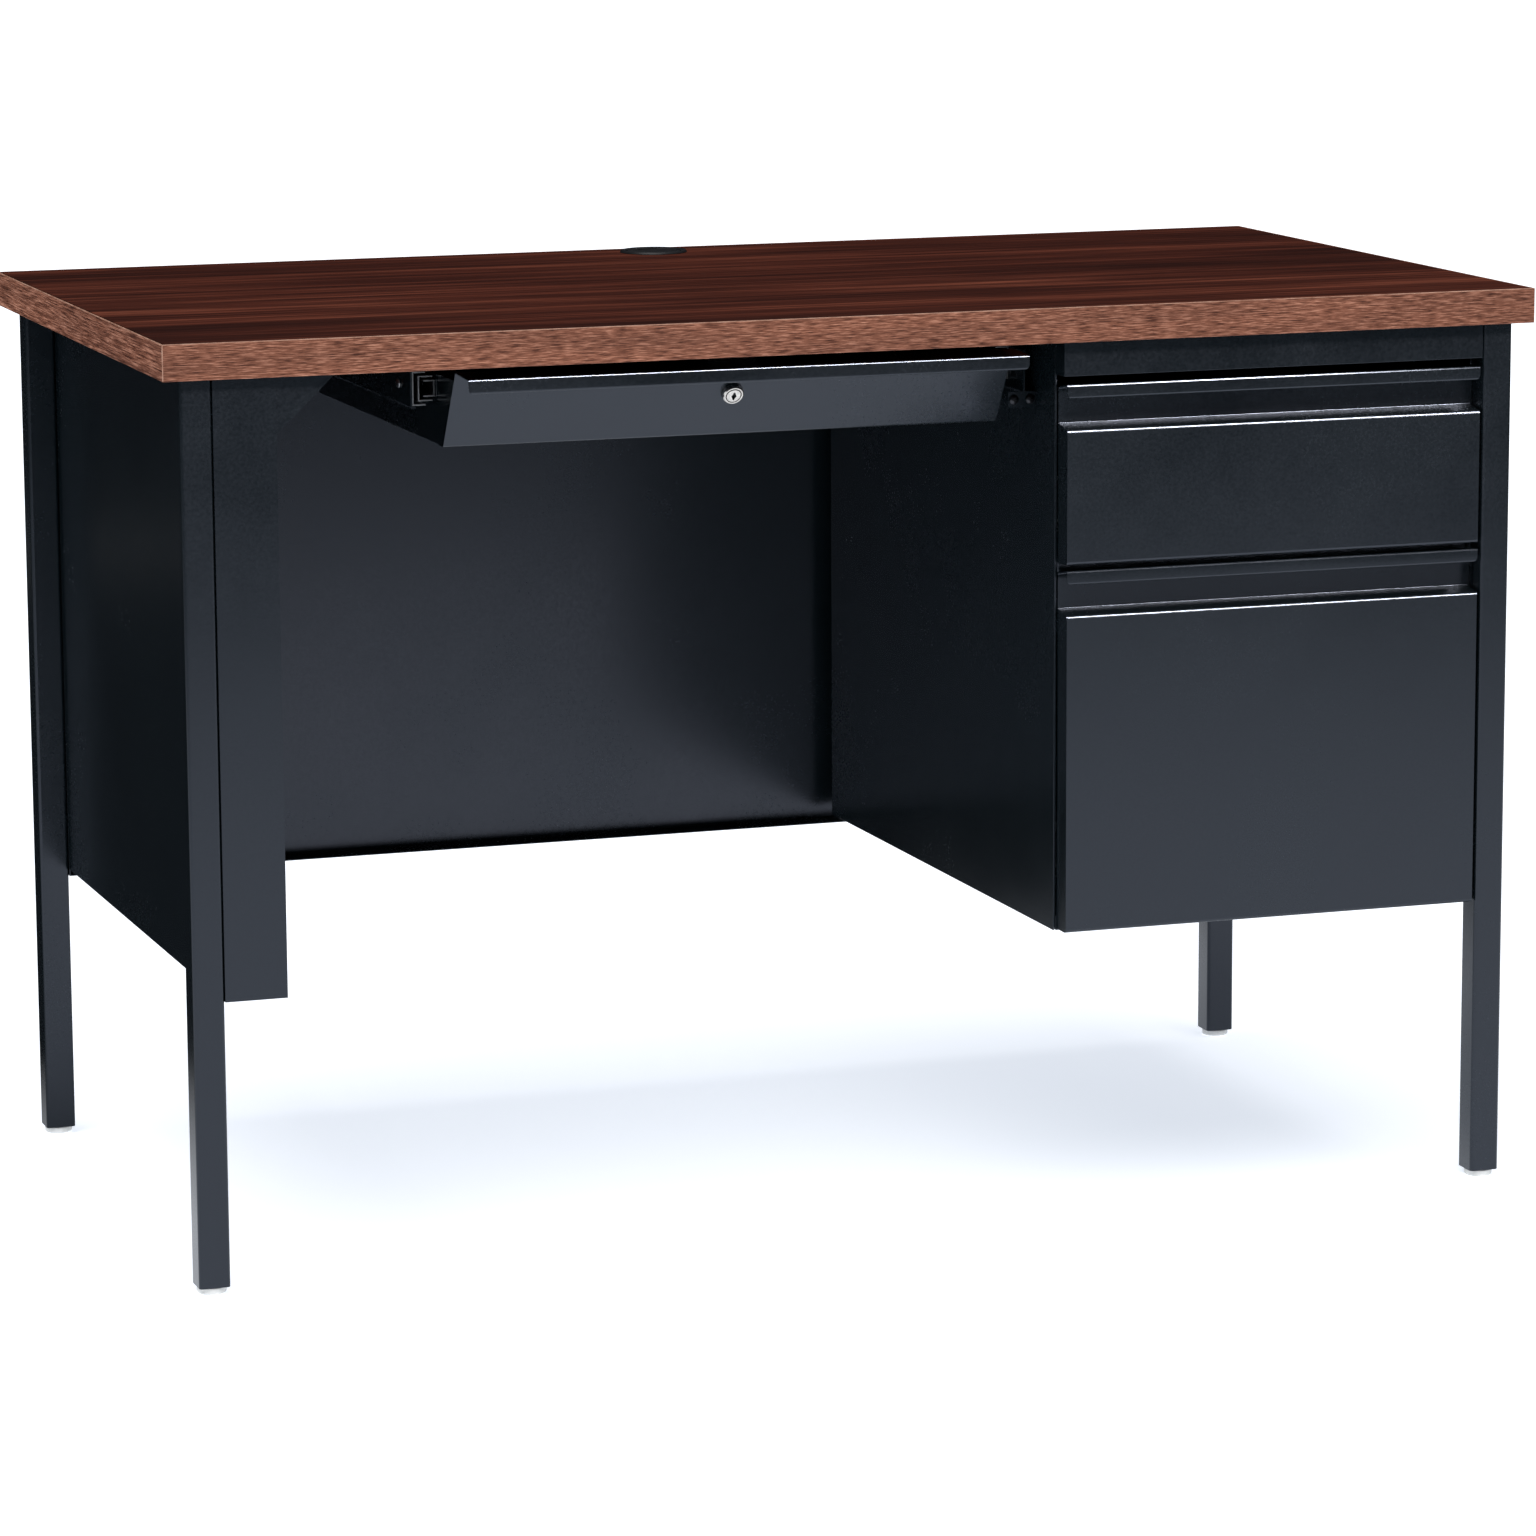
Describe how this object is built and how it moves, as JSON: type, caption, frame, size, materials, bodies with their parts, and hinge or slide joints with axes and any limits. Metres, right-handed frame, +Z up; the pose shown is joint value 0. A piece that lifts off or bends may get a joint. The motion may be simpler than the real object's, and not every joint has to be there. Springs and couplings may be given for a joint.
{
  "type": "computer desk",
  "caption": "Steel office desk with a laminate top, tube legs, a drawer pedestal with full-width finger pulls, a modesty panel and a locking pull-out keyboard tray.",
  "frame": {"origin": "on the floor, under the middle of the top", "axes": "+X to the sitter's right, +Y to the back of the desk, +Z up; the drawers open towards -Y"},
  "size_m": [1.1494, 0.6096, 0.7513],
  "materials": {
    "laminate": "dark mahogany laminate, satin",
    "edge_band": "lighter wood-grain edge banding, satin",
    "steel_enamel": "black satin powder coat",
    "slide_steel": "zinc-plated, lightly greased",
    "nickel": "satin nickel plate",
    "white_nylon": "moulded nylon",
    "black_plastic": "moulded black plastic"
  },
  "bodies": {
    "frame": {"desktop_board": "laminate", "edge_band": "edge_band", "grommet_sleeve": "black_plastic", "leg_front_left": "steel_enamel", "leg_front_right": "steel_enamel", "leg_rear_left": "steel_enamel", "leg_rear_right": "steel_enamel", "glide_front_left": "white_nylon", "glide_front_right": "white_nylon", "glide_rear_left": "white_nylon", "glide_rear_right": "white_nylon", "end_panel_outer": "steel_enamel", "end_panel_inner": "steel_enamel", "corner_gusset": "steel_enamel", "modesty_panel": "steel_enamel", "pedestal_left_side": "steel_enamel", "pedestal_right_side": "steel_enamel", "pedestal_back": "steel_enamel", "pedestal_bottom": "steel_enamel", "pedestal_header": "steel_enamel", "pedestal_mid_rail": "steel_enamel", "tray_bracket_left": "steel_enamel", "tray_bracket_right": "steel_enamel", "lock_strike": "slide_steel", "bracket_screw_left": "slide_steel", "bracket_screw_right_inner": "slide_steel", "bracket_screw_right_outer": "slide_steel", "box_slide_left_outer": "slide_steel", "box_slide_right_outer": "slide_steel", "file_slide_left_outer": "slide_steel", "file_slide_right_outer": "slide_steel", "tray_slide_left_outer": "slide_steel", "tray_slide_right_outer": "slide_steel"},
    "keyboard_tray": {"keyboard_tray": "steel_enamel", "tray_front": "steel_enamel", "lock_barrel": "nickel", "tray_slide_left_inner": "slide_steel", "tray_slide_right_inner": "slide_steel"},
    "tray_slide_middle": {"tray_slide_left_middle": "slide_steel", "tray_slide_right_middle": "slide_steel"},
    "box_drawer": {"box_drawer_front": "steel_enamel", "box_drawer_body": "steel_enamel", "box_slide_left_inner": "slide_steel", "box_slide_right_inner": "slide_steel"},
    "box_slide_middle": {"box_slide_left_middle": "slide_steel", "box_slide_right_middle": "slide_steel"},
    "file_drawer": {"file_drawer_front": "steel_enamel", "file_drawer_body": "steel_enamel", "file_hanger_left": "slide_steel", "file_hanger_right": "slide_steel", "file_slide_left_inner": "slide_steel", "file_slide_right_inner": "slide_steel"},
    "file_slide_middle": {"file_slide_left_middle": "slide_steel", "file_slide_right_middle": "slide_steel"},
    "lock_plug": {"lock_plug": "nickel", "lock_cam": "slide_steel"},
    "grommet_cap": {"grommet_cap": "black_plastic"}
  },
  "joints": [
    {"name": "keyboard_tray_slide", "type": "slide", "parent": "frame", "child": "keyboard_tray", "axis": [0, -1, 0], "range_m": [0, 0.3]},
    {"name": "tray_middle_slide", "type": "slide", "parent": "frame", "child": "tray_slide_middle", "axis": [0, -1, 0], "range_m": [0, 0.15]},
    {"name": "box_drawer_slide", "type": "slide", "parent": "frame", "child": "box_drawer", "axis": [0, -1, 0], "range_m": [0, 0.44]},
    {"name": "box_middle_slide", "type": "slide", "parent": "frame", "child": "box_slide_middle", "axis": [0, -1, 0], "range_m": [0, 0.22]},
    {"name": "file_drawer_slide", "type": "slide", "parent": "frame", "child": "file_drawer", "axis": [0, -1, 0], "range_m": [0, 0.44]},
    {"name": "file_middle_slide", "type": "slide", "parent": "frame", "child": "file_slide_middle", "axis": [0, -1, 0], "range_m": [0, 0.22]},
    {"name": "lock_turn", "type": "hinge", "parent": "keyboard_tray", "child": "lock_plug", "pos_m": [-0.098, -0.24131, 0.68563], "axis": [0, -0.8533, -0.5213], "range_deg": [0, 90]},
    {"name": "grommet_cap_turn", "type": "hinge", "parent": "frame", "child": "grommet_cap", "pos_m": [0, 0.2648, 0.7493], "axis": [0, 0, 1], "continuous": true}
  ],
  "couplings": [
    {"joint": "tray_middle_slide", "follows": "keyboard_tray_slide", "ratio": 0.5},
    {"joint": "box_middle_slide", "follows": "box_drawer_slide", "ratio": 0.5},
    {"joint": "file_middle_slide", "follows": "file_drawer_slide", "ratio": 0.5}
  ]
}
